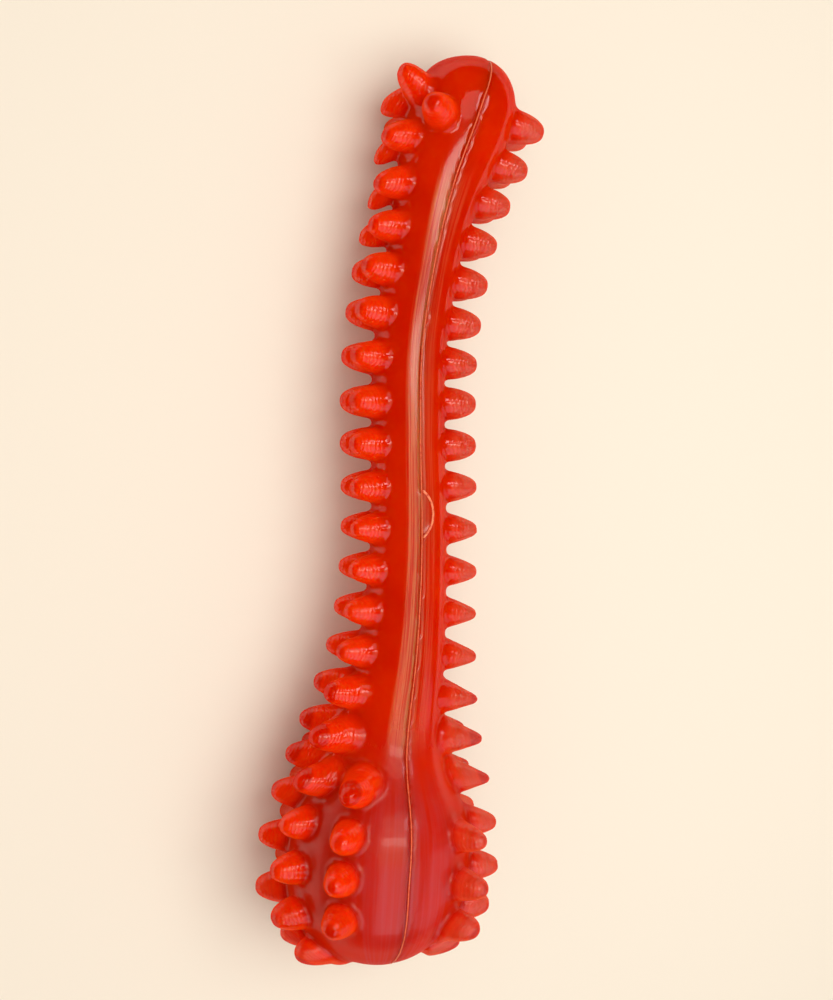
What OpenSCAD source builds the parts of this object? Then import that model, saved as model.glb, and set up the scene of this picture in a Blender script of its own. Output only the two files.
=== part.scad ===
// Spiked rubber chew stick: a slim shaft with a small knob at one end, a large bulb at the other
// and rows of blunt nubs down both flanks. It lies on its nubs, bulb towards -Y and knob towards +Y.
// It is moulded in a two-part mould, so it is built as the two halves that meet at the parting face.

/* [Body] */
// Length from the tip of the bulb to the tip of the knob
toy_len = 190; // [170:1:215]
// Radius of the bulb
bulb_r = 19.1; // [17:0.1:22]
// Radius of the knob
knob_r = 10.7; // [9:0.1:12.5]
// Radius of the shaft where it leaves the bulb
shaft_r = 7.7; // [6.8:0.1:8.7]
// Radius of the shaft just below the knob
neck_r = 7.2; // [6.2:0.1:8.0]
// Distance over which the bulb runs out into the shaft
bulb_flare = 33.6; // [27:0.2:40]
// Distance over which the knob runs out into the shaft
knob_flare = 19; // [14:1:23]

/* [Bend] */
// Distance that the tip of the knob lies to the side of the bulb
knob_swing = 10.4; // [0:0.2:15]

/* [Nubs] */
// Distance of the first ring of nubs from the tip of the bulb
first_nub = 5; // [4.5:0.1:7]
// Distance of the last ring of nubs from the tip of the knob
last_nub = 11.2; // [10:0.1:13]
// Height of a nub above the body
nub_len = 7; // [5:0.1:9]
// Radius of a nub at its root
nub_root_r = 3.4; // [2.6:0.1:3.9]
// Radius of a nub where its rounded tip begins
nub_tip_r = 1.5; // [1.2:0.05:2]
// Height of the rounded tip
nub_dome = 1.2; // [0.8:0.1:1.6]
// Distance by which the right half's rows slip towards the tip of the bulb
right_slip = 2.4; // [0:0.1:3]
// Distance by which the left half's lower row slips away from the tip of the bulb
left_slip = 3.6; // [0:0.1:4]

/* [Parting line] */
// Height by which the left half stands proud of the right one along the parting line
parting_rise = 0.2; // [0.1:0.05:0.4]

/* [Gate scar] */
// Length of the trimmed gate beside the parting line
gate_len = 9.7; // [7:0.1:12]
// Width of the trimmed gate
gate_w = 2.5; // [1.8:0.1:3.2]
// Depth of its floor below the crest of the shaft
gate_depth = 0.9; // [0.7:0.1:1.4]
// Width of its raised lip
gate_lip = 0.45; // [0.3:0.05:0.7]
// Height of its raised lip
gate_rise = 0.3; // [0.2:0.05:0.5]

/* [Hidden] */

body_red = [0.80, 0.10, 0.02];
body_red_dark = [0.70, 0.07, 0.03];

// Bend of the spine: where its knots lie along the length, and how far each lies to the side
knot_shares = [0, 0.10, 0.18, 0.26, 0.36, 0.47, 0.60, 0.68, 0.77, 0.86, 0.94, 1];
swing_shares = [0.1, 0, 0.03, 0.08, 0.21, 0.19, 0, -0.07, 0.06, 0.31, 0.69, 1];

// Mould layout: turn of the full-length rows and of the crown nubs from the mould's opening
// direction, and the share of the spine's own turn that the nubs follow
row_angle = 15;
crown_angle = 50;
lean_share = 0.6;
// Lean of the left half's nubs near the knob: the lower ones are pressed over towards the bulb,
// their upper neighbours take a share of that, and the last upper one leans out over the knob
press_angle = 45;
press_share = 0.4;
fan_angle = 20;

// Nubs of a full-length row, and places of the crown nubs, counted in rings from the bulb's tip
row_count = 21;
left_crowns = [1.2, 2.1, 3, 4, 19.5];
right_crowns = [1, 2, 3];

// Place of the gate scar along the length
gate_share = 0.502;

// Facets of the body: sides of a half section, and rings on a dome and between the domes
half_sides = 14;
dome_rings = 6;
body_rings = 44;
// Sides of a nub, and the radius of its blunt end as a share of the radius below its dome
nub_sides = 12;
nub_crown_share = 0.5;

knob_mid = toy_len - knob_r;
gate_at = gate_share * toy_len;
nub_pitch = (toy_len - first_nub - last_nub) / (row_count - 1);
// Overrun of a cut or a root beyond the face it passes
over = 0.08 * shaft_r;
// Middle and reach of the stretch over which the rows slip, and the share of its reach at which a
// slip ends
right_slip_at = 0.8 * bulb_r;
right_slip_reach = 0.7 * bulb_r;
left_slip_at = 1.6 * bulb_r;
left_slip_reach = bulb_r;
slip_end_share = 2.5;
// Middle and reach of the stretch over which the nubs near the knob are pressed over
press_at = toy_len - last_nub - 1.4 * nub_pitch;
press_reach = 2 * nub_pitch;

// Smooth curve through four neighbouring values, f running from 0 to 1 between the middle two
function blend4(a, b, c, d, f) =
    b + f * ((c - a) / 2 + f * ((a - 2.5 * b + 2 * c - d / 2) + f * (1.5 * (b - c) + (d - a) / 2)));
function clamp_index(i, list) = max(0, min(len(list) - 1, i));
function pick(list, i) = list[clamp_index(i, list)];
// Index of the last knot at or before a share u of the length
function knot_before(u, i = 0) =
    (i >= len(knot_shares) - 2 || knot_shares[i + 1] > u) ? i : knot_before(u, i + 1);

// Sideways place of the spine at a distance t from the tip of the bulb
function spine_side(t) =
    let (u = t / toy_len, i = knot_before(u),
         f = (u - knot_shares[i]) / (knot_shares[i + 1] - knot_shares[i]))
    knob_swing * blend4(pick(swing_shares, i - 1), swing_shares[i], swing_shares[i + 1],
                        pick(swing_shares, i + 2), f);
function spine_point(t) = [spine_side(t), t, 0];
// Direction of the spine's side at t, square to the spine and level with the parting rule
function spine_turn(t) =
    let (step = toy_len / 100)
    atan2(spine_side(min(t + step, toy_len)) - spine_side(max(t - step, 0)),
          min(t + step, toy_len) - max(t - step, 0));
function side_dir(t) = [cos(spine_turn(t)), -sin(spine_turn(t)), 0];

// Radius of the body at t: two domes, and between them a shaft that swells into each of them
function bell(x, w) = exp(-pow(x / w, 2));
function slip(x, w) = abs(x) > slip_end_share * w ? 0 : bell(x, w);
function shaft_at(t) = shaft_r + (neck_r - shaft_r) * (t - bulb_r) / (knob_mid - bulb_r);
function swell(t) =
    shaft_at(t) + (bulb_r - shaft_at(t)) * bell(t - bulb_r, bulb_flare)
    + (knob_r - neck_r) * bell(t - knob_mid, knob_flare);
function body_r(t) =
    t < bulb_r ? sqrt(max(0, pow(bulb_r, 2) - pow(bulb_r - t, 2)))
    : t > knob_mid ? sqrt(max(0, pow(knob_r, 2) - pow(t - knob_mid, 2)))
    : swell(t);

// Distances of the body's rings from the tip of the bulb, both poles left out
ring_places = concat(
    [for (i = [1 : dome_rings]) bulb_r * (1 - cos(90 * i / dome_rings))],
    [for (i = [1 : body_rings - 1]) bulb_r + (knob_mid - bulb_r) * i / body_rings],
    [for (i = [dome_rings : -1 : 1]) toy_len - knob_r * (1 - cos(90 * i / dome_rings))]);

// Half of the body as one closed loft. side is 1 for the right half and -1 for the left one, and
// extra is added to the radius all round, fading to nothing at the poles.
module half_loft(side, extra) {
    per_ring = half_sides + 1;
    rings = len(ring_places);
    ring_points = [for (t = ring_places) for (k = [0 : half_sides])
        let (a = 90 - 180 * k / half_sides,
             r = body_r(t) + extra * min(1, body_r(t) / neck_r),
             n = side_dir(t))
        spine_point(t) + r * (side * cos(a) * n + [0, 0, sin(a)])];
    points = concat(ring_points, [spine_point(0), spine_point(toy_len)]);
    bulb_pole = rings * per_ring;
    knob_pole = bulb_pole + 1;
    function skin(i, k) = i * per_ring + k;
    function quad(a, b, c, d) = [[a, b, c], [a, c, d]];
    shell = [for (i = [0 : rings - 2]) for (k = [0 : half_sides - 1])
        each quad(skin(i, k), skin(i, k + 1), skin(i + 1, k + 1), skin(i + 1, k))];
    parting = [for (i = [0 : rings - 2])
        each quad(skin(i, half_sides), skin(i, 0), skin(i + 1, 0), skin(i + 1, half_sides))];
    bulb_cap = [for (k = [0 : half_sides - 1]) [bulb_pole, skin(0, k + 1), skin(0, k)]];
    knob_cap = [for (k = [0 : half_sides - 1])
        [knob_pole, skin(rings - 1, k), skin(rings - 1, k + 1)]];
    ends = [[bulb_pole, skin(0, 0), skin(0, half_sides)],
            [knob_pole, skin(rings - 1, half_sides), skin(rings - 1, 0)]];
    faces = concat(shell, parting, bulb_cap, knob_cap, ends);
    polyhedron(points, side > 0 ? [for (f = faces) [f[2], f[1], f[0]]] : faces);
}

// One blunt nub standing on z = 0, with a straight root that reaches down into the body and its
// tip pressed over towards the bulb by an angle
module nub(root_depth, press) {
    hull() {
        translate([0, 0, -root_depth])
            cylinder(r = nub_root_r, h = root_depth, $fn = nub_sides);
        translate([0, -nub_len * sin(press), nub_len * cos(press) - nub_dome])
            cylinder(r1 = nub_tip_r, r2 = nub_crown_share * nub_tip_r, h = nub_dome, $fn = nub_sides);
    }
}

// Distance of ring i of nubs from the tip of the bulb, on the half and in the row that side and
// turn name
function nub_place(i, side, turn) =
    let (t = first_nub + i * nub_pitch)
    side > 0 ? t - right_slip * slip(t - right_slip_at, right_slip_reach)
    : turn < 0 ? t + left_slip * slip(t - left_slip_at, left_slip_reach)
    : t;
// Angle by which a nub is pressed over. Only the left half's rows are, and only near the knob.
function nub_press(i, side, turn) =
    side > 0 || abs(turn) != row_angle ? 0
    : turn > 0 && i == row_count - 1 ? -fan_angle
    : (turn < 0 ? 1 : press_share) * press_angle
      * slip(nub_place(i, side, turn) - press_at, press_reach);
// Least radius of the body under a nub's root
function seat_r(t) = min(body_r(max(0, t - nub_root_r)), body_r(min(toy_len, t + nub_root_r)));

// Nub of ring i, turned up from the mould's opening direction
module set_nub(i, side, turn) {
    t = nub_place(i, side, turn);
    translate(spine_point(t))
        rotate([0, 0, -lean_share * spine_turn(t)])
            rotate([0, side * (90 - turn), 0])
                translate([0, 0, body_r(t)])
                    nub(body_r(t) - max(0, seat_r(t) - over), nub_press(i, side, turn));
}

module nubs(side, crowns) {
    for (i = [0 : row_count - 1])
        for (turn = [-row_angle, row_angle])
            set_nub(i, side, turn);
    for (i = crowns)
        for (turn = [-crown_angle, crown_angle])
            set_nub(i, side, turn);
}

// Outline of the gate scar: a bow whose straight side runs just past the parting line
module gate_outline(grow) {
    bow_r = (pow(gate_len / 2, 2) + pow(gate_w, 2)) / (2 * gate_w);
    intersection() {
        translate([gate_w - bow_r, 0])
            circle(r = bow_r + grow, $fn = 96);
        translate([-over, -gate_len])
            square([gate_len, 2 * gate_len]);
    }
}

// Upright block over the scar, from a depth below the crest of the shaft up past its lip
module gate_block(depth, grow) {
    translate(spine_point(gate_at))
        rotate([0, 0, -spine_turn(gate_at)])
            translate([0, 0, body_r(gate_at) - depth])
                linear_extrude(depth + gate_rise + over)
                    gate_outline(grow);
}

module gate_lip_ring() {
    intersection() {
        half_loft(1, gate_rise);
        gate_block(gate_depth + over, gate_lip);
    }
}

// How far the blunt end of a nub reaches along the direction e
function nub_reach(i, side, turn, e) =
    let (t = nub_place(i, side, turn),
         swing = lean_share * spine_turn(t),
         lean = [side * cos(turn) * cos(swing), -side * cos(turn) * sin(swing), sin(turn)] * e,
         flare = sqrt(1 - pow(lean, 2)),
         press = nub_press(i, side, turn),
         shift = [sin(swing), cos(swing), 0] * e * nub_len * sin(press),
         base = spine_point(t) * e + body_r(t) * lean - shift,
         rise = nub_len * cos(press))
    base + max((rise - nub_dome) * lean + nub_tip_r * flare,
               rise * lean + nub_crown_share * nub_tip_r * flare);
function toy_reach(e) = max([for (side = [-1, 1]) each concat(
    [for (i = [0 : row_count - 1]) for (turn = [-row_angle, row_angle]) nub_reach(i, side, turn, e)],
    [for (i = side < 0 ? left_crowns : right_crowns) for (turn = [-crown_angle, crown_angle])
        nub_reach(i, side, turn, e)])]);

// The toy lies on the crown nubs under its bulb and its knob, so its spine falls towards the knob
function crown_reach(i) = nub_reach(i, -1, -crown_angle, [0, 0, -1]);
bulb_rest = left_crowns[1];
knob_rest = left_crowns[len(left_crowns) - 1];
rest_pitch = atan((crown_reach(bulb_rest) - crown_reach(knob_rest))
                  / (nub_pitch * (knob_rest - bulb_rest)));
rest_lift = toy_reach([0, sin(rest_pitch), -cos(rest_pitch)]);
rest_middle = [(toy_reach([1, 0, 0]) - toy_reach([-1, 0, 0])) / 2, toy_len / 2 * cos(rest_pitch), 0];

// Lay the toy down: let the knob end fall, centre the toy, and lift it to the floor
module lay_down() {
    translate([0, 0, rest_lift] - rest_middle)
        rotate([-rest_pitch, 0, 0])
            children();
}

module left_half() {
    color(body_red)
        lay_down()
            union() {
                half_loft(-1, parting_rise);
                nubs(-1, left_crowns);
            }
}

module right_half() {
    color(body_red_dark)
        lay_down()
            difference() {
                union() {
                    half_loft(1, 0);
                    nubs(1, right_crowns);
                    gate_lip_ring();
                }
                gate_block(gate_depth, 0);
            }
}

left_half();
right_half();
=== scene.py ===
import math

import bpy
import numpy as np
from mathutils import Euler, Matrix, Vector

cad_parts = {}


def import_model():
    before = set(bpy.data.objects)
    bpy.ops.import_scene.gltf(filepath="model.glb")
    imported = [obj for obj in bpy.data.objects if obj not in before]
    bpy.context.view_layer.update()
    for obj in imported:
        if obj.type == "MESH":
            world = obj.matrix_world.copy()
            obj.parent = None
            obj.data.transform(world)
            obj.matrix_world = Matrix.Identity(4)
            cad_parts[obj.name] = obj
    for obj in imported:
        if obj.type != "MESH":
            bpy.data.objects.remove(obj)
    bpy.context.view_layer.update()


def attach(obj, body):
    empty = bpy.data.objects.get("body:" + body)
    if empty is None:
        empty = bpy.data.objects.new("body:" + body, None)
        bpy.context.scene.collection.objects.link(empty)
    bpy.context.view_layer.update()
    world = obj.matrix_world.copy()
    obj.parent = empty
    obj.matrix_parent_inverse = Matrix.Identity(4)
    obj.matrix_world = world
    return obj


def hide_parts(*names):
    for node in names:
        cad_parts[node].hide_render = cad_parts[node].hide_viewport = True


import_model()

# Body, in millimetres, as in the part
MM = 0.001
TOY_LEN = 190
BULB_R = 19.1
KNOB_R = 10.7
SHAFT_R = 7.7
NECK_R = 7.2
BULB_FLARE = 33.6
# The skin's shaft stays slim for longer: its shoulder falls off first, and the rest tapers slowly
SHOULDER_SHARE = 0.62
SHOULDER_FLARE = 21
BULB_TAPER = 45
KNOB_FLARE = 19
KNOB_MID = TOY_LEN - KNOB_R
KNOB_SWING = 10.4
KNOT_SHARES = [0, 0.10, 0.18, 0.26, 0.36, 0.47, 0.60, 0.68, 0.77, 0.86, 0.94, 1]
SWING_SHARES = [0.1, 0, 0.03, 0.08, 0.21, 0.19, 0, -0.07, 0.06, 0.31, 0.69, 1]
# Steps in which the spine's turn and the body's slope are measured, and rounds taken to straighten a point
TURN_STEP = TOY_LEN / 100
SLOPE_STEP = 0.1
STRAIGHTEN_ROUNDS = 6

# Nubs
FIRST_NUB = 5
LAST_NUB = 11.2
ROW_COUNT = 21
NUB_PITCH = (TOY_LEN - FIRST_NUB - LAST_NUB) / (ROW_COUNT - 1)
NUB_LEN = 7
ROW_ANGLE = 15
CROWN_ANGLE = 50
LEAN_SHARE = 0.6
# Nubs pressed over towards the bulb: by how much, where and how far from there
PRESS_ANGLE = 45
PRESS_SHARE = 0.4
PRESS_AT = TOY_LEN - LAST_NUB - 1.4 * NUB_PITCH
PRESS_REACH = 2 * NUB_PITCH
FAN_ANGLE = 20
# Nubs out of step along their row: by how much, where and how far from there
RIGHT_SLIP = 2.4
RIGHT_SLIP_AT = 0.8 * BULB_R
RIGHT_SLIP_REACH = 0.7 * BULB_R
LEFT_SLIP = 3.6
LEFT_SLIP_AT = 1.6 * BULB_R
LEFT_SLIP_REACH = BULB_R
# Rings that carry extra nubs near the crown, counted from the bulb
LEFT_CROWNS = [1.2, 2.1, 3, 4, 19.5]
RIGHT_CROWNS = [1, 2, 3]

# Side of a nub: distances below its end, and the radius there of the slimmest and of the bluntest
NUB_DEPTHS = [0.15, 0.5, 1.0, 1.7, 2.5, 3.4, 4.5, 5.5, 7]
SLIM_RADII = [0.45, 0.8, 1.05, 1.3, 1.6, 1.95, 2.45, 2.85, 3.35]
BLUNT_RADII = [0.95, 1.5, 2.0, 2.4, 2.75, 3.05, 3.3, 3.45, 3.6]
# Foot of a nub, which runs out over the curve of the body: distances above its root, and radii
FOOT_RISES = [-0.8, -1.6, -3, -6]
FOOT_RADII = [4.0, 4.6, 5.0, 4.6]
# Least distance of a foot from the tip of the bulb
FOOT_MARGIN = 0.5
# How blunt the nubs of each ring are, from the bulb to the knob
KNOB_BLUNTNESS = [1, 1, 0.9, 1, 1, 0.9, 1, 1, 1]
LEFT_BLUNTNESS = [0.9, 1, 0.9, 0.9, 0.8, 0.8, 0.8, 0.7, 0.7, 0.7, 0.7, 0.8] + KNOB_BLUNTNESS
RIGHT_BLUNTNESS = [0.8, 0.9, 0.8, 0.6, 0.1, 0.2, 0.1, 0.3, 0.3, 0.5, 0.5, 0.7] + KNOB_BLUNTNESS

# Parting line and gate scar
PARTING_RISE = 0.2
FLASH_R = 0.15
FLASH_SINK = FLASH_R * 0.7
FLASH_MARGIN = 1.5
# The flash's height waves along the toy: by what share, and how fast, in radians to the millimetre
FLASH_WAVE_SHARE = 0.25
FLASH_WAVES = (1.7, 0.61)
GATE_AT = 0.502 * TOY_LEN
GATE_LEN = 9.7
GATE_W = 2.5
GATE_DEPTH = 0.35
GATE_LIP_R = 0.26
# The scar's cutter: how far it reaches past the parting line, and how high it stands
GATE_OVERLAP = 1
GATE_CUT_RISE = 3

# How the toy lies on the floor: fall of its spine, height of its axis, and its middle
REST_FALL = 2.345
REST_LIFT = 21.24
REST_MIDDLE = (0.016, 94.92)

# Fineness of the meshes
DOME_RINGS = 14
SHAFT_RINGS = 90
HALF_STEPS = 48
NUB_STEPS = 24
GATE_STEPS = 24
LIP_STEPS = 40
LIP_SIDES = 8
FLASH_SIDES = 6
VOXEL = 0.46
SMOOTH_STEPS = 8
# Distances below which points count as the same
NEAR = 0.001
HAIR = 0.0001

# Camera: its place in millimetres, its turn in degrees and its lens
CAMERA_PLACE = (-87.8, 24.95, 251.3)
CAMERA_TURN = (-6.91, -20.70, 5.20)
CAMERA_LENS = 43.2
CAMERA_NEAR_CLIP = 0.01


# Shape of the toy

def blend4(a, b, c, d, f):
    """Smooth curve through four neighbouring values, f running from 0 to 1 between the middle two."""
    return b + f * ((c - a) / 2 + f * ((a - 2.5 * b + 2 * c - d / 2) + f * (1.5 * (b - c) + (d - a) / 2)))


def spine_side(t):
    """Sideways place of the spine at a distance t from the tip of the bulb."""
    u = np.clip(np.asarray(t, float) / TOY_LEN, 0, 1)
    shares = np.array(KNOT_SHARES)
    swings = np.array(SWING_SHARES)
    last = len(shares) - 1
    i = np.clip(np.searchsorted(shares, u, side="right") - 1, 0, last - 1)
    f = (u - shares[i]) / (shares[i + 1] - shares[i])
    before = swings[np.maximum(i - 1, 0)]
    after = swings[np.minimum(i + 2, last)]
    return KNOB_SWING * blend4(before, swings[i], swings[i + 1], after, f)


def spine_turn(t):
    """Turn of the spine from the toy's length at t, in radians."""
    low = np.clip(np.asarray(t, float) - TURN_STEP, 0, TOY_LEN - TURN_STEP)
    high = np.clip(np.asarray(t, float) + TURN_STEP, TURN_STEP, TOY_LEN)
    return np.arctan2(spine_side(high) - spine_side(low), high - low)


def bell(x, width):
    return np.exp(-(x / width) ** 2)


def even_fade(x):
    """Share of the bulb's swell that is left at a distance x behind the bulb, in one even curve."""
    return bell(x, BULB_FLARE)


def shouldered_fade(x):
    """The same share where most of the swell falls off at a shoulder."""
    shoulder = np.exp(-(x / SHOULDER_FLARE) ** 4)
    return SHOULDER_SHARE * shoulder + (1 - SHOULDER_SHARE) * bell(x, BULB_TAPER)


def body_r(t, fade=shouldered_fade):
    """Radius of the body at t: two domes, and between them a shaft that swells into each of them."""
    t = np.asarray(t, float)
    shaft = SHAFT_R + (NECK_R - SHAFT_R) * (t - BULB_R) / (KNOB_MID - BULB_R)
    swell = shaft + (BULB_R - shaft) * fade(t - BULB_R)
    swell = swell + (KNOB_R - NECK_R) * bell(t - KNOB_MID, KNOB_FLARE)
    bulb = np.sqrt(np.maximum(0, BULB_R ** 2 - (BULB_R - t) ** 2))
    knob = np.sqrt(np.maximum(0, KNOB_R ** 2 - (t - KNOB_MID) ** 2))
    return np.where(t < BULB_R, bulb, np.where(t > KNOB_MID, knob, swell))


def bent(points):
    """Bends the straight toy: x is the distance from its axis and y the distance along it."""
    turn = spine_turn(points[:, 1])
    x = spine_side(points[:, 1]) + points[:, 0] * np.cos(turn)
    y = points[:, 1] - points[:, 0] * np.sin(turn)
    return np.stack([x, y, points[:, 2]], axis=1)


def straightened(points):
    """Takes points of the bent toy back to the straight one."""
    t = points[:, 1].copy()
    for _ in range(STRAIGHTEN_ROUNDS):
        turn = spine_turn(t)
        out = (points[:, 0] - spine_side(t)) / np.cos(turn)
        t = points[:, 1] + out * np.sin(turn)
    return np.stack([out, t, points[:, 2]], axis=1)


ATTITUDE = (Matrix.Translation((-REST_MIDDLE[0], -REST_MIDDLE[1], REST_LIFT))
            @ Matrix.Rotation(math.radians(-REST_FALL), 4, "X"))
TO_METRES = Matrix.Scale(MM, 4)


def nub_place(i, side, turn):
    """Distance of ring i of nubs from the tip of the bulb."""
    t = FIRST_NUB + i * NUB_PITCH
    if side > 0:
        return t - RIGHT_SLIP * bell(t - RIGHT_SLIP_AT, RIGHT_SLIP_REACH)
    if turn < 0:
        return t + LEFT_SLIP * bell(t - LEFT_SLIP_AT, LEFT_SLIP_REACH)
    return t


def nub_press(i, side, turn):
    """Angle by which a nub is pressed over towards the bulb, which happens on the left near the knob."""
    if side > 0 or abs(turn) != ROW_ANGLE:
        return 0
    if turn > 0 and i == ROW_COUNT - 1:
        return -FAN_ANGLE
    press = PRESS_ANGLE * bell(nub_place(i, side, turn) - PRESS_AT, PRESS_REACH)
    return press if turn < 0 else PRESS_SHARE * press


# Mesh tools

def deselect():
    bpy.ops.object.select_all(action="DESELECT")


def activate(*pieces):
    deselect()
    for piece in pieces:
        piece.select_set(True)
    bpy.context.view_layer.objects.active = pieces[0]


def named(name):
    piece = bpy.context.object
    piece.name = name
    piece.data.name = name
    return piece


def points_of(piece):
    points = np.empty(len(piece.data.vertices) * 3)
    piece.data.vertices.foreach_get("co", points)
    return points.reshape(-1, 3)


def put_points(piece, points):
    piece.data.vertices.foreach_set("co", np.ascontiguousarray(points).ravel())
    piece.data.update()


def apply_modifier(piece, kind, **settings):
    activate(piece)
    modifier = piece.modifiers.new(kind.title(), kind)
    for key, value in settings.items():
        setattr(modifier, key, value)
    bpy.ops.object.modifier_apply(modifier=modifier.name)


def copy_of(piece, name):
    """A copy of a piece with its own mesh."""
    twin = piece.copy()
    twin.data = piece.data.copy()
    twin.name = name
    bpy.context.collection.objects.link(twin)
    return twin


def close_and_turn_out():
    """Merges the doubles of the mesh in edit mode and points its faces outwards."""
    bpy.ops.mesh.select_all(action="SELECT")
    bpy.ops.mesh.remove_doubles(threshold=NEAR)
    bpy.ops.mesh.normals_make_consistent(inside=False)


def drawn_chain(profile):
    """A chain of edges through the points of a profile, drawn by extruding one vertex. Ends in edit mode."""
    deselect()
    bpy.ops.mesh.primitive_plane_add(size=1)
    bpy.ops.object.mode_set(mode="EDIT")
    bpy.ops.mesh.merge(type="CENTER")
    bpy.ops.transform.translate(value=profile[0])
    for here, there in zip(profile, profile[1:]):
        move = tuple(b - a for a, b in zip(here, there))
        bpy.ops.mesh.extrude_region_move(TRANSFORM_OT_translate={"value": move})
    bpy.ops.mesh.select_all(action="SELECT")


def spun_profile(name, profile, axis, angle, steps):
    """A profile spun round an axis through the origin."""
    drawn_chain(profile)
    bpy.ops.mesh.spin(steps=steps, angle=angle, center=(0, 0, 0), axis=axis)
    close_and_turn_out()
    bpy.ops.object.mode_set(mode="OBJECT")
    return named(name)


def rod(name, radius, places, sides):
    """A closed rod along y with a ring of vertices at each place and pointed ends."""
    deselect()
    bpy.ops.mesh.primitive_circle_add(vertices=sides, radius=radius, fill_type="NGON",
                                      location=(0, places[0], 0), rotation=(math.pi / 2, 0, 0))
    bpy.ops.object.transform_apply(location=True, rotation=True, scale=True)
    bpy.ops.object.mode_set(mode="EDIT")
    bpy.ops.mesh.select_all(action="SELECT")
    for here, there in zip(places, places[1:]):
        bpy.ops.mesh.extrude_region_move(TRANSFORM_OT_translate={"value": (0, there - here, 0)})
    bpy.ops.mesh.merge(type="CENTER")
    bpy.ops.object.mode_set(mode="OBJECT")
    for vertex in bpy.context.object.data.vertices:
        vertex.select = abs(vertex.co.y - places[0]) < HAIR
    bpy.ops.object.mode_set(mode="EDIT")
    bpy.ops.mesh.merge(type="CENTER")
    close_and_turn_out()
    bpy.ops.object.mode_set(mode="OBJECT")
    return named(name)


# Body

def ring_places():
    """Places of the body's rings, close together on the domes."""
    turns = [math.pi / 2 * i / DOME_RINGS for i in range(DOME_RINGS + 1)]
    bulb = [BULB_R * (1 - math.cos(a)) for a in turns]
    shaft = [BULB_R + (KNOB_MID - BULB_R) * i / SHAFT_RINGS for i in range(1, SHAFT_RINGS)]
    knob = [TOY_LEN - KNOB_R * (1 - math.cos(a)) for a in reversed(turns)]
    return bulb + shaft + knob


def close_parting_face():
    """Closes the open half along its parting face, with the poles left to a triangle each."""
    bpy.ops.mesh.select_mode(type="VERT")
    bpy.ops.mesh.select_all(action="DESELECT")
    bpy.ops.mesh.select_non_manifold()
    bpy.ops.object.mode_set(mode="OBJECT")
    for vertex in bpy.context.object.data.vertices:
        if not NEAR < vertex.co.y < TOY_LEN - NEAR:
            vertex.select = False
    bpy.ops.object.mode_set(mode="EDIT")
    bpy.ops.mesh.bridge_edge_loops()
    bpy.ops.mesh.select_all(action="DESELECT")
    bpy.ops.mesh.select_non_manifold()
    bpy.ops.mesh.fill()
    bpy.ops.mesh.select_all(action="SELECT")
    bpy.ops.mesh.normals_make_consistent(inside=False)


def body_half(name, side, extra):
    """Half of the straight body, spun from its profile and closed along the parting face."""
    places = ring_places()
    fade = [min(1, float(body_r(t)) / NECK_R) for t in places]
    profile = [(0, t, float(body_r(t)) + extra * f) for t, f in zip(places, fade)]
    half = spun_profile(name, profile, (0, -side, 0), math.pi, HALF_STEPS)
    bpy.ops.object.mode_set(mode="EDIT")
    close_parting_face()
    bpy.ops.object.mode_set(mode="OBJECT")
    return half


# Gate scar

GATE_BOW_R = ((GATE_LEN / 2) ** 2 + GATE_W ** 2) / (2 * GATE_W)
GATE_BOW_TURN = math.asin(GATE_LEN / 2 / GATE_BOW_R)


def gate_bow(steps):
    """Points of the scar's bow, from one end of its straight side to the other."""
    turns = [GATE_BOW_TURN * (2 * i / steps - 1) for i in range(steps + 1)]
    middle = GATE_W - GATE_BOW_R
    return [(middle + GATE_BOW_R * math.cos(a), GATE_AT + GATE_BOW_R * math.sin(a)) for a in turns]


def cut_gate(half):
    """Sinks the scar's floor into the crest of the shaft."""
    floor_z = float(body_r(GATE_AT)) - GATE_DEPTH
    bow = gate_bow(GATE_STEPS)
    ends = [(-GATE_OVERLAP, bow[-1][1]), (-GATE_OVERLAP, bow[0][1])]
    drawn_chain([(x, y, floor_z) for x, y in bow + ends])
    bpy.ops.mesh.edge_face_add()
    bpy.ops.mesh.extrude_region_move(TRANSFORM_OT_translate={"value": (0, 0, GATE_CUT_RISE)})
    close_and_turn_out()
    bpy.ops.object.mode_set(mode="OBJECT")
    cutter = named("gate_cutter")
    apply_modifier(half, "BOOLEAN", object=cutter, operation="DIFFERENCE", solver="EXACT")
    bpy.data.objects.remove(cutter)


def gate_lip():
    """The scar's raised lip: a thin bead round the bow, lying on the shaft."""
    lip = rod("gate_lip", GATE_LIP_R, [float(i) for i in range(LIP_STEPS + 1)], LIP_SIDES)
    points = points_of(lip)
    share = points[:, 1] / LIP_STEPS
    turn = GATE_BOW_TURN * (2 * share - 1)
    reach = GATE_BOW_R + points[:, 0]
    x = GATE_W - GATE_BOW_R + reach * np.cos(turn)
    y = GATE_AT + reach * np.sin(turn)
    z = np.sqrt(body_r(y) ** 2 - x ** 2) + points[:, 2]
    put_points(lip, np.stack([x, y, z], axis=1))
    return lip


# Parting flash

def parting_flash(name, top):
    """The thin flash that the mould leaves along the parting line, on the top or the bottom."""
    places = [t for t in ring_places() if FLASH_MARGIN < t < TOY_LEN - FLASH_MARGIN]
    flash = rod(name, FLASH_R, places, FLASH_SIDES)
    points = points_of(flash)
    t = points[:, 1]
    slope = (body_r(t + SLOPE_STEP / 2) - body_r(t - SLOPE_STEP / 2)) / SLOPE_STEP
    length = np.hypot(slope, 1)
    height = body_r(t) + PARTING_RISE * np.minimum(1, body_r(t) / NECK_R) - FLASH_SINK
    out = points[:, 2] * (1 + FLASH_WAVE_SHARE * np.sin(t * FLASH_WAVES[0]) * np.sin(t * FLASH_WAVES[1]))
    x = points[:, 0] - FLASH_R
    y = t - out * slope / length
    z = top * (height + out / length)
    put_points(flash, np.stack([x, y, z], axis=1))
    return flash


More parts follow.
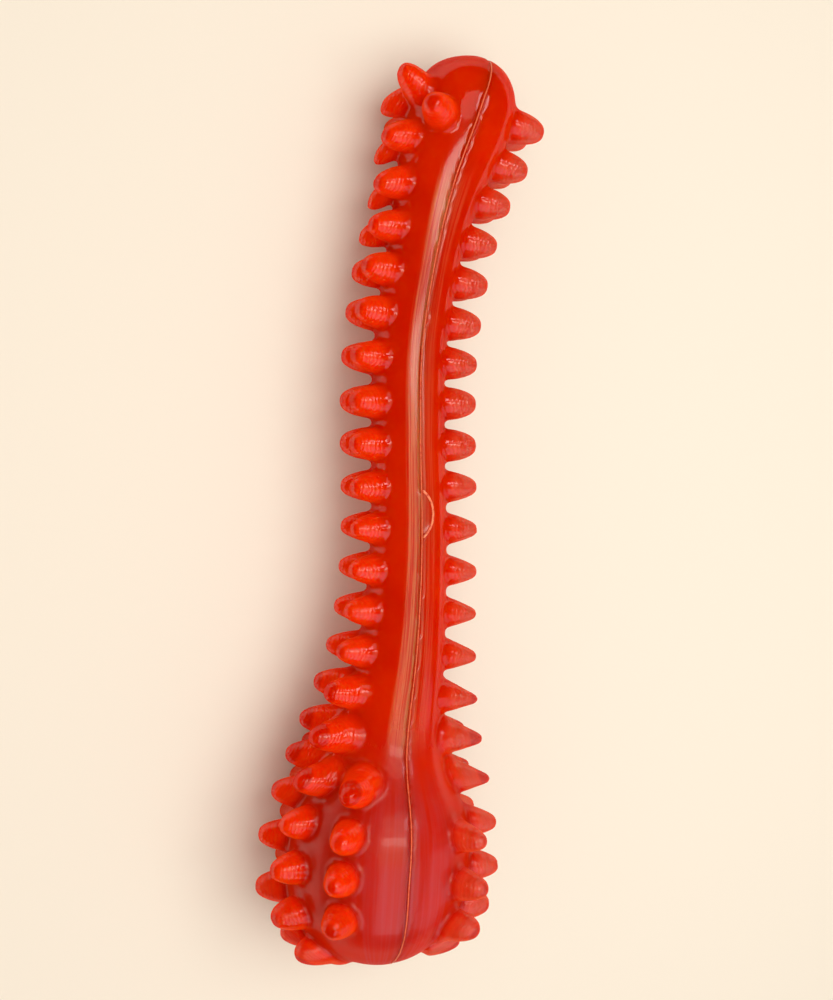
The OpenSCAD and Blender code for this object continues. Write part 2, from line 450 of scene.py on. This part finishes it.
# Nubs

def nub(name, radii):
    """One nub standing on z = 0 with its foot below."""
    profile = [(r, 0, z) for r, z in zip(reversed(FOOT_RADII), reversed(FOOT_RISES))]
    profile += [(r, 0, NUB_LEN - depth) for r, depth in zip(reversed(radii), reversed(NUB_DEPTHS))]
    profile = [(0, 0, profile[0][2])] + profile + [(0, 0, NUB_LEN)]
    return spun_profile(name, profile, (0, 0, 1), 2 * math.pi, NUB_STEPS)


def nub_matrix(i, side, turn):
    t = float(nub_place(i, side, turn))
    swing = float(spine_turn(t)) * LEAN_SHARE
    press = math.radians(float(nub_press(i, side, turn)))
    place = Matrix.Translation((float(spine_side(t)), t, 0))
    out = Matrix.Rotation(-swing, 4, "Z") @ Matrix.Rotation(math.radians(side * (90 - turn)), 4, "Y")
    lean = Matrix.Identity(4)
    lean[1][2] = -math.sin(press)
    lean[2][2] = math.cos(press)
    return place @ out @ Matrix.Translation((0, 0, float(body_r(t, even_fade)))) @ lean


def fitted_foot(points, i, side, turn):
    """Narrows and deepens the foot of a nub that stands near the tip of the bulb."""
    room = min(1, (float(nub_place(i, side, turn)) - FOOT_MARGIN) / max(FOOT_RADII))
    foot = points[:, 2] < 0
    points[foot] *= [room, room, 1 / room ** 2]
    return points


def nub_copies(side, crowns, bluntness):
    """The nubs of one half, set on the straight toy."""
    slim = nub("slim_nub", SLIM_RADII)
    blunt = nub("blunt_nub", BLUNT_RADII)
    places = [(i, turn) for i in range(ROW_COUNT) for turn in (-ROW_ANGLE, ROW_ANGLE)]
    places += [(i, turn) for i in crowns for turn in (-CROWN_ANGLE, CROWN_ANGLE)]
    copies = []
    for i, turn in places:
        share = bluntness[int(i)]
        twin = copy_of(slim, "nub_copy")
        points = (1 - share) * points_of(slim) + share * points_of(blunt)
        put_points(twin, fitted_foot(points, i, side, turn))
        twin.data.transform(nub_matrix(i, side, turn))
        put_points(twin, straightened(points_of(twin)))
        copies.append(twin)
    bpy.data.objects.remove(slim)
    bpy.data.objects.remove(blunt)
    return copies


def moulded(half, side, crowns, bluntness):
    """Runs a half and its nubs together, as the mould casts them."""
    activate(half, *nub_copies(side, crowns, bluntness))
    bpy.ops.object.join()
    apply_modifier(half, "REMESH", mode="VOXEL", voxel_size=VOXEL, adaptivity=0)
    apply_modifier(half, "SMOOTH", factor=0.5, iterations=SMOOTH_STEPS)


def lay_down(piece):
    """Measures the straight piece for its material, bends it and lays it on the floor in metres."""
    points = points_of(piece)
    reach = np.hypot(points[:, 0], points[:, 2])
    measures = {"along": points[:, 1],
                "height": reach - body_r(points[:, 1]),
                "rise": np.degrees(np.arctan2(points[:, 2], np.abs(points[:, 0])))}
    for name, values in measures.items():
        layer = piece.data.attributes.new(name, "FLOAT", "POINT")
        layer.data.foreach_set("value", values.astype(np.float32))
    put_points(piece, bent(points))
    piece.data.transform(TO_METRES @ ATTITUDE)
    piece.data.update()
    activate(piece)
    bpy.ops.object.shade_smooth()
    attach(piece, "root")


left = body_half("left_skin", -1, PARTING_RISE)
moulded(left, -1, LEFT_CROWNS, LEFT_BLUNTNESS)
right = body_half("right_skin", 1, 0)
cut_gate(right)
moulded(right, 1, RIGHT_CROWNS, RIGHT_BLUNTNESS)
lip = gate_lip()
flash_top = parting_flash("flash_top", 1)
flash_bottom = parting_flash("flash_bottom", -1)
for piece in (left, right, lip, flash_top, flash_bottom):
    lay_down(piece)
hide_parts("left_half")
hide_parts("right_half")


# Materials

class Value:
    """A socket with a number, for shader maths written as expressions."""

    def __init__(self, finish, socket):
        self.finish = finish
        self.socket = socket

    def maths(self, operation, *others):
        return self.finish.node("ShaderNodeMath", {"operation": operation}, [self, *others])

    def __add__(self, other):
        return self.maths("ADD", other)

    def __mul__(self, other):
        return self.maths("MULTIPLY", other)

    __radd__ = __add__
    __rmul__ = __mul__

    def __rsub__(self, other):
        return self.finish.node("ShaderNodeMath", {"operation": "SUBTRACT"}, [other, self])

    def ramp(self, low, high):
        """0 below low, 1 above high and a smooth step between them."""
        settings = {"interpolation_type": "SMOOTHSTEP"}
        return self.finish.node("ShaderNodeMapRange", settings, [self, low, high, 0, 1])


class Finish:
    """A procedural material and the few ways in which its nodes are made."""

    def __init__(self, name):
        self.material = bpy.data.materials.new(name)
        self.material.use_nodes = True
        self.tree = self.material.node_tree
        self.shader = self.tree.nodes["Principled BSDF"]

    def node(self, kind, settings=None, inputs=(), output=0):
        node = self.tree.nodes.new(kind)
        for key, value in (settings or {}).items():
            setattr(node, key, value)
        pairs = inputs.items() if isinstance(inputs, dict) else enumerate(inputs)
        for key, value in pairs:
            if isinstance(value, Value):
                self.tree.links.new(value.socket, node.inputs[key])
            else:
                node.inputs[key].default_value = value
        return Value(self, node.outputs[output])

    def attribute(self, name):
        return self.node("ShaderNodeAttribute", {"attribute_name": name}, output="Fac")

    def mix(self, factor, one, two):
        settings = {"data_type": "RGBA"}
        return self.node("ShaderNodeMix", settings, {0: factor, 6: one, 7: two}, output=2)

    def vector(self, x, y, z):
        return self.node("ShaderNodeCombineXYZ", None, [x, y, z])

    def noise(self, scale, detail=2.0, roughness=0.5, vector=None):
        """Noise on a vector of the piece's own measures, or on its Object coordinates."""
        vector = vector or self.node("ShaderNodeTexCoord", output="Object")
        inputs = {"Vector": vector, "Scale": scale, "Detail": detail, "Roughness": roughness}
        return self.node("ShaderNodeTexNoise", None, inputs)

    def set(self, **values):
        for key, value in values.items():
            socket = self.shader.inputs[key.replace("_", " ")]
            if isinstance(value, Value):
                self.tree.links.new(value.socket, socket)
            else:
                socket.default_value = value

    def fade_gloss(self, factor):
        """Fades the gloss out by a factor, through a twin of the shader that has none."""
        matt = self.tree.nodes.new("ShaderNodeBsdfPrincipled")
        for name in ("Base Color", "Alpha", "Subsurface Weight", "Subsurface Scale", "Subsurface Radius"):
            socket = self.shader.inputs[name]
            matt.inputs[name].default_value = socket.default_value
            if socket.is_linked:
                self.tree.links.new(socket.links[0].from_socket, matt.inputs[name])
        matt.inputs["Specular IOR Level"].default_value = 0
        both = [factor, Value(self, self.shader.outputs[0]), Value(self, matt.outputs[0])]
        mixed = self.node("ShaderNodeMixShader", None, both)
        self.tree.links.new(mixed.socket, self.tree.nodes["Material Output"].inputs["Surface"])

    def bump(self, relief, distance):
        return self.node("ShaderNodeBump", None, {"Height": relief, "Distance": distance, "Strength": 1.0})


def colour(red, green, blue):
    """A colour written as on the screen, turned to the linear values that a shader takes."""
    def linear(v):
        v = v / 255
        return v / 12.92 if v <= 0.04045 else ((v + 0.055) / 1.055) ** 2.4
    return (linear(red), linear(green), linear(blue), 1.0)


# Where the rubber's finish changes. Heights over the body, in millimetres
NUB_STARTS = (0.6, 3.0)
NUB_CLEARS = (1.5, 4.5)
NUB_TIP_STARTS = (5.9, 6.9)
# Places along the toy, in millimetres
BULB_ENDS = (34, 46)
SHEEN_ENDS = (46, 56)
STRIP_STARTS = (44, 52)
SPECKLE_ENDS = (52, 62)
STRIP_ENDS = (158, 168)
CLEAR_FADE = 8
# Rises round the body, in degrees, with the parting line at 90
# Lower edge of the rubbed patch on top of the bulb, whose pink is partly painted reflection
RUBBED_AND_REFLECTION_EDGE = (50, 64)
STRIP_EDGE = (64, 70)

# Colours of the rubber
BRIGHT_RED = colour(214, 37, 0)
DEEP_RED = colour(202, 26, 0)
# Painted shade: the bulb is the same rubber as the shaft, drawn darker
BULB_SHADE_RED = colour(188, 26, 4)
# Painted shade: nub tips drawn darker, standing in for the dark rims that refraction gives the clear tips
TIP_SHADE_RED = colour(168, 16, 0)
# Partly real rubbing, partly a painted reflection of the light overhead on top of the bulb
RUBBED_AND_REFLECTION_PINK = colour(190, 70, 78)
# Partly real scuffs, partly a painted reflection of the light overhead along the parting line
SCUFF_AND_REFLECTION_TAN = colour(226, 108, 64)
FLASH_RED = colour(214, 50, 20)

# How far red, green and blue light travel in the rubber, as shares of its subsurface scale
BLEED_SHARES = (1.0, 0.1, 0.04)


def rubber(name, nub_glow_tint, clearness, clear_to, scuff_and_reflection):
    """Soft, glossy and translucent: deep red in the body and clearer in the nubs, whose brighter tint is
    painted light shining through them.
    """
    finish = Finish(name)
    height = finish.attribute("height")
    along = finish.attribute("along")
    rise = finish.attribute("rise")

    # Scratches run along the toy, so their noise changes fast round the body and slowly along it
    lane = finish.vector(rise * 0.36, along * 0.03, 0.0)
    scratches = finish.noise(scale=1.0, detail=3, roughness=0.65, vector=lane)
    peel = finish.noise(scale=1500, detail=3)
    cloud = finish.noise(scale=70, detail=2)
    wobble = finish.noise(scale=400, detail=2)

    on_nub = height.ramp(*NUB_STARTS)
    off_nub = 1 - on_nub
    on_bulb = (1 - along.ramp(*BULB_ENDS)) * off_nub
    sheen = (1 - along.ramp(*SHEEN_ENDS)) * off_nub
    strip = rise.ramp(*STRIP_EDGE) * along.ramp(*STRIP_STARTS) * (1 - along.ramp(*STRIP_ENDS)) * off_nub
    speckle = strip * (1 - along.ramp(*SPECKLE_ENDS))
    # Scuffs along the parting line; their tan is partly a painted reflection of the light overhead,
    # strongest on the left half
    scuffs_and_reflection = strip * scratches.ramp(0.4, 0.6)
    # Rubbed streaks on top of the bulb; their pink is partly a painted reflection of the light overhead
    rubbed_and_reflection = on_bulb * rise.ramp(*RUBBED_AND_REFLECTION_EDGE) * scratches.ramp(0.38, 0.66)
    # Fine rings round each nub, 8 radians to the millimetre and a little uneven
    rings = (height * 8 + wobble * 12).maths("SINE") * on_nub

    base = finish.mix(cloud.ramp(0.35, 0.7), BRIGHT_RED, DEEP_RED)
    # Painted shade: the bulb drawn darker than the rest of the same rubber
    base = finish.mix(on_bulb * 0.7, base, BULB_SHADE_RED)
    # Painted light: the nubs' brighter tint stands for light shining through them
    base = finish.mix(on_nub, base, nub_glow_tint)
    # Painted shade: the nub tips darkened towards their ends
    base = finish.mix(height.ramp(*NUB_TIP_STARTS) * 0.75, base, TIP_SHADE_RED)
    base = finish.mix(scuffs_and_reflection * scuff_and_reflection, base, SCUFF_AND_REFLECTION_TAN)
    base = finish.mix(rubbed_and_reflection * 0.35, base, RUBBED_AND_REFLECTION_PINK)
    roughness = 0.06 + 0.06 * scratches + 0.1 * strip + 0.2 * sheen
    relief = scratches * off_nub * 0.8 + peel * (0.5 + speckle * 9) + rings * 2.4
    coat = strip * scratches.ramp(0.35, 0.65) * 0.18 + rings.ramp(-0.4, 0.6) * 0.5
    # The nubs are clear where they face the eye, and all gloss fades towards grazing angles
    edge = finish.node("ShaderNodeLayerWeight", None, {"Blend": 0.35}, output="Facing")
    clear = height.ramp(*NUB_CLEARS) * (1 - along.ramp(clear_to, clear_to + CLEAR_FADE))
    opacity = 1 - clear * (1 - edge.ramp(0.1, 0.7)) * clearness

    finish.set(Base_Color=base, Roughness=roughness, Alpha=opacity, IOR=1.44)
    finish.set(Normal=finish.bump(relief, distance=0.00001))
    finish.set(Coat_Weight=coat, Coat_Roughness=0.07, Coat_IOR=1.6)
    finish.set(Subsurface_Weight=1.0, Subsurface_Scale=0.014, Subsurface_Radius=BLEED_SHARES)
    finish.fade_gloss(edge.ramp(0.16, 0.55) * 0.85)
    return finish.material


def flash_rubber(name, tint):
    """The raised lips of the mould marks, which are thin and catch the light; their pale tint is a painted
    highlight on the same red rubber.
    """
    finish = Finish(name)
    grain = finish.noise(scale=1400, detail=2)
    # Painted highlight: the pale tint stands for the light that the thin lips catch; FLASH_RED is the
    # rubber's own red
    base = finish.mix(grain.ramp(0.45, 0.8), tint, FLASH_RED)
    finish.set(Base_Color=base, Roughness=0.22 + 0.2 * grain, IOR=1.48)
    finish.set(Normal=finish.bump(grain, distance=0.00004))
    finish.set(Subsurface_Weight=0.25, Subsurface_Scale=0.001)
    return finish.material


def dress(piece, material):
    piece.data.materials.clear()
    piece.data.materials.append(material)


# Painted light: left nubs get a brighter orange for light shining through them, right nubs a pinker tone for
# the pale floor seen through them
dress(left, rubber("left_rubber", colour(236, 52, 4), clearness=0.16, clear_to=14, scuff_and_reflection=0.8))
dress(right, rubber("right_rubber", colour(216, 66, 34), clearness=0.2, clear_to=TOY_LEN, scuff_and_reflection=0.3))
# Painted highlight: the flash and gate lips get pale tints for the light they catch
dress(flash_top, flash_rubber("flash_rubber", colour(240, 110, 70)))
dress(flash_bottom, flash_top.data.materials[0])
dress(lip, flash_rubber("gate_rubber", colour(255, 150, 108)))


# Floor, light and camera. Places and sizes in metres, power in watts

FLOOR_SIZE = 6
FLOOR_CREAM = colour(243, 236, 224)
SKY_TINT = (1, 0.9, 0.78, 1)


def floor():
    deselect()
    bpy.ops.mesh.primitive_plane_add(size=FLOOR_SIZE, location=(0, 0, 0))
    ground = named("floor")
    finish = Finish("floor")
    finish.set(Base_Color=FLOOR_CREAM, Roughness=0.9)
    ground.data.materials.append(finish.material)


def area_light(name, place, aim, size, power, tint, glossy=True, diffuse=True):
    data = bpy.data.lights.new(name, "AREA")
    data.shape = "RECTANGLE"
    data.size, data.size_y = size
    data.energy = power
    data.color = tint
    lamp = bpy.data.objects.new(name, data)
    lamp.location = place
    lamp.rotation_euler = (Vector(aim) - Vector(place)).to_track_quat("-Z", "Y").to_euler()
    lamp.visible_glossy = glossy
    lamp.visible_diffuse = diffuse
    bpy.context.collection.objects.link(lamp)


def panel(name, place, size, power, tint):
    """A panel overhead that shows only as a highlight on the rubber."""
    area_light(name, place, (place[0], place[1], 0), size, power, tint, diffuse=False)


def world(strength):
    sky = bpy.data.worlds.new("studio")
    bpy.context.scene.world = sky
    sky.use_nodes = True
    background = sky.node_tree.nodes["Background"]
    background.inputs["Color"].default_value = SKY_TINT
    background.inputs["Strength"].default_value = strength
    sky.cycles_visibility.glossy = False


def camera():
    data = bpy.data.cameras.new("camera")
    data.lens = CAMERA_LENS
    data.clip_start = CAMERA_NEAR_CLIP
    view = bpy.data.objects.new("camera", data)
    view.location = Vector(CAMERA_PLACE) * MM
    view.rotation_euler = Euler([math.radians(a) for a in CAMERA_TURN], "XYZ")
    bpy.context.collection.objects.link(view)
    bpy.context.scene.camera = view


floor()
area_light("key", place=(0.06, 0.01, 0.5), aim=(0.02, 0, 0.02), size=(0.46, 0.46), power=1.95,
           tint=(1, 0.96, 0.9), glossy=False)
panel("panel_near", place=(0, 0, 0.7), size=(0.5, 0.32), power=0.55, tint=(1, 0.8, 0.5))
panel("panel_far", place=(0.12, -0.73, 0.7), size=(0.66, 1.14), power=2.9, tint=(1, 0.84, 0.94))
panel("strip", place=(0.02, 0.11, 0.69), size=(0.46, 0.1), power=0.6, tint=(1, 0.93, 0.86))
panel("panel_knob", place=(-0.02, 0.36, 0.7), size=(0.4, 0.26), power=0.42, tint=(1, 0.84, 0.7))
panel("spot", place=(0.31, 0.33, 0.7), size=(0.2, 0.16), power=0.5, tint=(1, 0.88, 0.94))
area_light("wall", place=(1.1, -0.75, 0.65), aim=(0, -0.3, 0.1), size=(1.2, 0.9), power=2.4,
           tint=(1, 0.84, 0.92), diffuse=False)
world(strength=0.54)
camera()
bpy.context.scene.view_settings.view_transform = "Standard"
